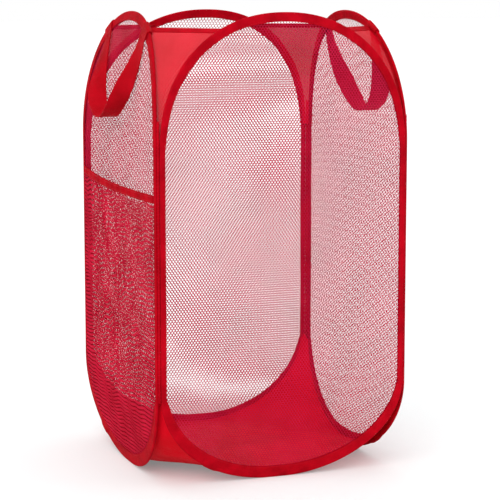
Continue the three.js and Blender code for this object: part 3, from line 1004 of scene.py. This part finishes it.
def gussetPieces(first, second, half=None):
    low = legTop + gusset["start"]
    high = hamper["height"] - gusset["topDrop"]
    name = first + "_" + second + ("" if half is None else "_" + half)
    span = {None: (0, 1), first: (0, 0.5), second: (0.5, 1)}[half]
    columns = gusset["columns"] if half is None else gusset["columns"] // 2
    across = np.linspace(*span, columns + 1)
    z = np.linspace(low, high, gusset["rows"] + 1)
    grid = gussetGrid(first, second, z, across)
    up = ((z - low) / (high - low))[:, None]
    seed = 31 + 3 * corners.index((first, second))
    acrossPace, upPace = gusset["creasePace"]
    crease = unevenness(across * acrossPace + up * gusset["creaseSlant"], up * upPace, seed)
    share = gusset["evenSag"] + gusset["creasedSag"] * crease
    sag = gusset["sag"] * np.sin(math.pi * across) * share
    grid = grid + (sag * up)[..., None] * cornerInward(first)
    sheet = gridPiece("corner_gusset_" + name, grid)
    finishPiece(sheet, "gusset", None, [f"top_gusset_{first}_{second}"])
    topLength = float(np.linalg.norm(grid[-1, -1] - grid[-1, 0]))
    gathersAcross = topLength / (gusset["gatherPitch"] * (span[1] - span[0]))
    depth = sag[-1] + gusset["gather"] * np.sin(across * gathersAcross * 2 * math.pi)
    bandZ = high + gusset["bandGap"] + np.array(gusset["bandLevels"]) * gusset["bandHeight"]
    bandGrid = gussetGrid(first, second, bandZ, across) + depth[:, None] * cornerInward(first)
    band = gridPiece("gusset_band_" + name, bandGrid, gusset["bandThickness"])
    finishPiece(band, "tape", None, [f"gusset_hem_{first}_{second}"])
    return sheet, band, grid


# right and back share no joint, so that their gusset is made in two halves that ride on their sides; the
# others stay where they are made, on no side
def addGussets():
    for first, second in corners:
        if (first, second) == ("right", "back"):
            for side in (first, second):
                sheet, band, _ = gussetPieces(first, second, side)
                for piece in (sheet, band):
                    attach(piece, side)
                    squashWithSide(piece)
            continue
        sheet, band, grid = gussetPieces(first, second)
        bodies, ends = (first, second), (grid[-1, 0], grid[-1, -1])
        if first != "front":
            bodies, ends = bodies[::-1], ends[::-1]
        for piece in (sheet, band):
            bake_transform(piece)


addGussets()
print("base and gussets hung")

# rolled seam along each corner, whipped with thread
seam = {
    "radius": 2.0 * mm,
    "sides": 14,
    "rise": 36 * mm,
    "lowerRise": 4 * mm,
    "steps": 150,
    "roll": 0.18 * mm,
    "rollPitch": 7 * mm,
    "whipPitch": 5 * mm,
    "whipStitches": 5,  # in one turn of the thread
    "whipSlope": 0.45,
    "whipDrift": 40,  # radians in a metre
}


def addSeam(first, second, body):
    axis = np.array([*turned(first, hingeHalf, -hingeHalf), 0])
    z = np.linspace(legFoot - seam["lowerRise"], legTop + seam["rise"], seam["steps"] + 1)
    angle = np.linspace(0, 2 * math.pi, seam["sides"] + 1)
    rolls = 0.5 + 0.5 * np.cos(z[:, None] * 2 * math.pi / seam["rollPitch"] + angle)
    radius = seam["radius"] - seam["roll"] * rolls
    grid = axis + np.stack([radius * np.cos(angle), radius * np.sin(angle), z[:, None] + 0 * radius], -1)
    piece = gridPiece(f"rolled_seam_{first}_{second}", grid)
    mergeSeams(piece)
    closeEnds(piece)
    smoothBends(piece)
    finishPiece(piece, "tape", body, [f"corner_seam_{first}_{second}"])
    places, axes = [], []
    for height in np.arange(z[0] + seam["whipPitch"], z[-1], seam["whipPitch"]):
        for part in np.arange(seam["whipStitches"]) / seam["whipStitches"]:
            around = 2 * math.pi * part + height * seam["whipDrift"]
            out = np.array([math.cos(around), math.sin(around), 0])
            run = unit(np.array([-math.sin(around), math.cos(around), seam["whipSlope"]]))
            climb = np.array([0, 0, height + seam["whipPitch"] * 0.5 * part])
            places.append(axis + out * seam["radius"] + climb)
            axes.append([run, np.cross(out, run), out])
    whip = scatterPiece(f"seam_whipping_{first}_{second}", stitch, np.array(places), np.array(axes))
    finishPiece(whip, "thread", body)


for (cornerFirst, cornerSecond), cornerBody in zip(corners, ("front", "right", "left", "front")):
    addSeam(cornerFirst, cornerSecond, cornerBody)
print("corners sewn")

# net pocket on the left side, slack, with a gathered elastic band along its mouth
pocket = {
    "mouthDrop": 57 * mm,
    "hemDrop": 9 * mm,
    "sag": 2 * mm,
    "hemHeight": 10 * mm,
    "hemThickness": 1.8 * mm,
    "clearance": 0.4 * mm,
    "netThickness": 1 * mm,
    "bulge": 9 * mm,
    "bend": 9 * mm,
    "bendPace": (0.02, 0.02),
    "fold": 5.0 * mm,
    "foldPace": (0.10, 0.035),
    "crinkle": 0.8 * mm,
    "crinklePace": (0.35, 0.30),
    "acrossPace": (0.04, 0.04),
    "upPace": (0.06, 0.05),
    "gather": 0.5 * mm,
    "edgeGather": 0.5,  # of the gather at the band's edges
    "gatherPitch": 6 * mm,
    "bandLevels": (-0.5, -0.35, -0.12, 0.12, 0.35, 0.5),  # of the band's height
    "stitchLevels": (-0.3, 0.3),
    "stitchLift": 0.15 * mm,
    "steps": 120,
}
pocketPlies = [
    {**net, "strand": 0.95 * mm, "relief": 0.45 * mm, "ribbed": True, "out": 0.3 * mm, "wander": 15.0 * mm},
    {**net, "strand": 0.85 * mm, "relief": 0.20 * mm, "ribbed": False, "out": -0.3 * mm, "wander": 5.0 * mm},
]
pocketMouth = legTop - pocket["mouthDrop"]
pocketHalf = legReach - hamper["legBand"] - pocket["clearance"]


def pocketLine(s):
    share = s / legReach
    return pocketMouth - pocket["hemDrop"] * share / 2 - pocket["sag"] * (1 - share**2)


def pocketOut(s, z):
    across = np.cos(math.pi / 2 * np.clip(np.abs(s) / pocketHalf, 0, 1))
    up = np.clip(z / pocketMouth, 0, 1)
    return pocket["netThickness"] + pocket["clearance"] + pocket["bulge"] * across * up


# slack folds that hang across the pocket, and the crinkle of loose net on them
def pocketFolds(s, z):
    bend = pocket["bend"] * overSide(s, z, pocket["bendPace"], 71)
    folds = overSide(s + bend, z + bend, pocket["foldPace"], 61)
    crinkle = overSide(s + 2 * bend, z - 2 * bend, pocket["crinklePace"], 67)
    return pocket["fold"] * folds + pocket["crinkle"] * crinkle


# the pocket's net lies double, and its plies have wandered by different lengths, so that their cells cross
def pocketPly(look, keep, seed):
    middle, radius = (0, pocketMouth / 2), math.hypot(legReach, pocketMouth / 2)

    def place(s, z, lean):
        hang = pocketOut(s, z)
        loose = np.clip((hang - pocket["netThickness"]) / pocket["bulge"], 0, 1)
        wander = look["wander"] * smooth(loose * 2)
        acrossWander = wander * overSide(s, z, pocket["acrossPace"], 83, octaves=3)
        upWander = wander * overSide(s, z, pocket["upPace"], 89, octaves=3)
        out = hang + pocketFolds(s, z) * loose + look["out"] + look["relief"] * lean
        return onSide("left", s + acrossWander, out, z + upWander)

    return knitPatch(middle, radius, keep, place, look, seed)


def addPocket():
    lipS, lipZ = inside(ring, ring["band"] + pocket["clearance"])
    hemDepth = pocket["hemHeight"] / 2 - pocket["clearance"]

    def keep(s, z):
        return withinRing(s, z, lipS, lipZ) & (z < pocketLine(s) - hemDepth)

    plies = [pocketPly(look, keep, 77 + number) for number, look in enumerate(pocketPlies)]
    piece = joinPatches("pocket_netting", plies)
    finishPiece(piece, "pocket", "left", ["pocket_net"])
    s = np.linspace(-pocketHalf, pocketHalf, pocket["steps"] + 1)
    levels = np.array(pocket["bandLevels"])[:, None]
    z = pocketLine(s) + levels * pocket["hemHeight"]
    depth = pocket["gather"] * (1 - (2 * levels) ** 2 * (1 - pocket["edgeGather"]))
    gathers = depth * np.sin(s * 2 * math.pi / pocket["gatherPitch"])
    out = pocketOut(s, z) + (pocket["hemThickness"] - pocket["netThickness"]) / 2 + gathers
    band = gridPiece("pocket_band", onSide("left", s, out, z), pocket["hemThickness"])
    finishPiece(band, "tape", "left", ["pocket_hem"])
    lift = pocket["hemThickness"] - pocket["netThickness"] / 2 + pocket["stitchLift"]
    rows = [pocketLine(s) + level * pocket["hemHeight"] for level in pocket["stitchLevels"]]
    lines = [sideStitches("left", s, pocketOut(s, row) + lift, row) for row in rows]
    stitching = stitchPiece("pocket_stitching", lines, "left")


addPocket()
print("pocket hung")

# webbing handles on the left and right sides
handle = {
    "width": 25 * mm,
    "thickness": 1.4 * mm,
    "clearance": 0.5 * mm,
    "spacing": 170 * mm,
    "drop": 104 * mm,
    "power": 1.95,
    "standOff": 2 * mm,
    "endClearance": 0.9 * mm,
    "sewnDepth": 15 * mm,
    "sewnTuck": 4.5 * mm,
    "twistShare": 0.4,
    "rows": 120,
    "columns": 8,
    "layingSteps": 7,
    "wrapSteps": 12,
    # heights above and below the strap's pivot
    "bendAbove": 14 * mm,
    "bendBelow": 16 * mm,
}


# a point of the upper arch, the inward direction there, and the length per radian
def upperArchStation(angle):
    step = 1e-4  # for the slope
    here, there = np.array(upperArch(angle)), np.array(upperArch(angle + step))
    along = unit(there - here)
    return here, np.array([-along[1], along[0]]), np.linalg.norm(there - here) / step


handleAngle = math.acos((handle["spacing"] / 2 / legReach) ** (hamper["upperPower"] / 2))
handlePlace, handleInward, handleSpeed = upperArchStation(handleAngle)


# the hanging strap: it leaves the side flat and twists to stand edge on
def strapGrid(side):
    depth = handle["sewnDepth"] + handle["endClearance"]
    reach, top = handlePlace + handleInward * depth
    flatOut = tape["bead"] + handle["clearance"] + handle["thickness"] / 2
    standOut = tape["bead"] + handle["clearance"] + handle["standOff"]
    angle = np.linspace(0, math.pi, handle["rows"] + 1)
    across = np.cos(angle)
    s = np.sign(across) * reach * np.abs(across) ** (2 / handle["power"])
    z = top - handle["drop"] * np.abs(np.sin(angle)) ** (2 / handle["power"])
    near = np.minimum(angle, math.pi - angle) / math.pi
    twist = smooth(near / handle["twistShare"])
    turn = math.pi / 2 * twist
    edge = np.linspace(-1, 1, handle["columns"] + 1)[None, :]
    flat = (np.cos(turn) * handle["width"] / 2)[:, None]
    standing = (np.sin(turn) * handle["width"] / 2)[:, None]
    out = (flatOut + (standOut - flatOut) * twist)[:, None] + standing * (1 + edge)
    alongZ = flat * handleInward[0] * np.sign(across)[:, None]
    return onSide(side, s[:, None] + edge * flat * handleInward[1], out, z[:, None] - edge * alongZ)


# a strap's end: flat down the outside of the tape, over the wire and tucked behind it
def sewnEndGrid(side, mirror):
    radius = tape["bead"] + handle["clearance"] + handle["thickness"] / 2
    laid = np.linspace(handle["sewnDepth"], tape["bead"], handle["layingSteps"], endpoint=False)
    wrap = halfRound(radius, 0.5 * math.pi, 1.5 * math.pi, handle["wrapSteps"] + 1)
    depth, out = np.array([(value, radius) for value in laid] + wrap + [(handle["sewnTuck"], -radius)]).T
    columns = []
    for share in np.linspace(-1, 1, handle["columns"] + 1):
        angle = handleAngle + share * handle["width"] / 2 / handleSpeed
        (s, z), inward, _ = upperArchStation(angle)
        columns.append(onSide(side, mirror * (s + inward[0] * depth), out, z + inward[1] * depth))
    return np.stack(columns, 1)


def addHandle(side):
    body = side + "_handle"
    pivot = np.array(joints[body + "_swing"]["pos_m"])
    grid = strapGrid(side)
    strap = gridPiece("strap_" + side, grid, handle["thickness"])
    finishPiece(strap, "webbing", None, ["handle_strap_" + side])
    for number, mirror in ((1, -1), (2, 1)):
        end = gridPiece(f"strap_end_{side}_{number}", sewnEndGrid(side, mirror), handle["thickness"])
        finishPiece(end, "webbing", side, [f"handle_end_{side}_{number}"])
    end = pivot - np.array([0, 0, handle["bendBelow"]])
    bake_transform(strap)


addHandle("left")
addHandle("right")
bpy.data.objects.remove(stitch)

# pale floor, white surroundings, soft light
studio = {
    "floorSize": 60.0,
    "floorColour": (0.79, 0.83, 0.83),
    "floorLift": 0.21,  # glow that the eye and gloss see, and that lights nothing else
    "floorRoughness": 0.9,
    "floorGloss": 0.1,
    "skyLevel": 0.76,
    "lights": [
        {"place": (-2.4, -3.0, 2.6), "level": 0.48, "spread": 50},
        {"place": (2.6, -2.4, 1.6), "level": 0.08, "spread": 60},
        {"place": (0.6, 2.6, 2.8), "level": 0.12, "spread": 60},
    ],
}


# 1 for rays from the camera, off gloss or through something clear, and 0 for those that light
def raysToEye(tree):
    rays = tree.nodes.new("ShaderNodeLightPath").outputs
    seen = socketMath(tree, "MAXIMUM", rays["Is Camera Ray"], rays["Is Glossy Ray"])
    return socketMath(tree, "MAXIMUM", seen, rays["Is Transmission Ray"])


def whiteToEye(tree, level):
    return rescale(tree, raysToEye(tree), 0, 1, level, 1)


def setUpWorld():
    world = bpy.data.worlds.new("studio")
    bpy.context.scene.world = world
    world.use_nodes = True
    tree = world.node_tree
    background = tree.nodes["Background"]
    background.inputs["Color"].default_value = (1, 1, 1, 1)
    tree.links.new(whiteToEye(tree, studio["skyLevel"]), background.inputs["Strength"])


def setUpFloor():
    bpy.ops.object.select_all(action="DESELECT")
    bpy.ops.mesh.primitive_plane_add(size=studio["floorSize"])
    floor = bpy.context.object
    floor.name = "floor"
    material, tree, shader = newMaterial("floor")
    shader.inputs["Base Color"].default_value = (*studio["floorColour"], 1)
    shader.inputs["Roughness"].default_value = studio["floorRoughness"]
    shader.inputs["Specular IOR Level"].default_value = studio["floorGloss"]
    shader.inputs["Emission Color"].default_value = (1, 1, 1, 1)
    lift = socketMath(tree, "MULTIPLY", raysToEye(tree), studio["floorLift"])
    tree.links.new(lift, shader.inputs["Emission Strength"])
    floor.data.materials.append(material)


# broad suns: each lights a white surface that faces it to its level
def setUpLights():
    for number, lamp in enumerate(studio["lights"]):
        data = bpy.data.lights.new(f"softbox_{number}", "SUN")
        data.energy = math.pi * lamp["level"]
        data.angle = math.radians(lamp["spread"])
        light = bpy.data.objects.new(data.name, data)
        bpy.context.scene.collection.objects.link(light)
        light.location = lamp["place"]
        light.rotation_euler = (-Vector(lamp["place"])).to_track_quat("-Z", "Y").to_euler()


setUpWorld()
setUpFloor()
setUpLights()
bpy.context.scene.view_settings.view_transform = "Standard"
print("studio set")
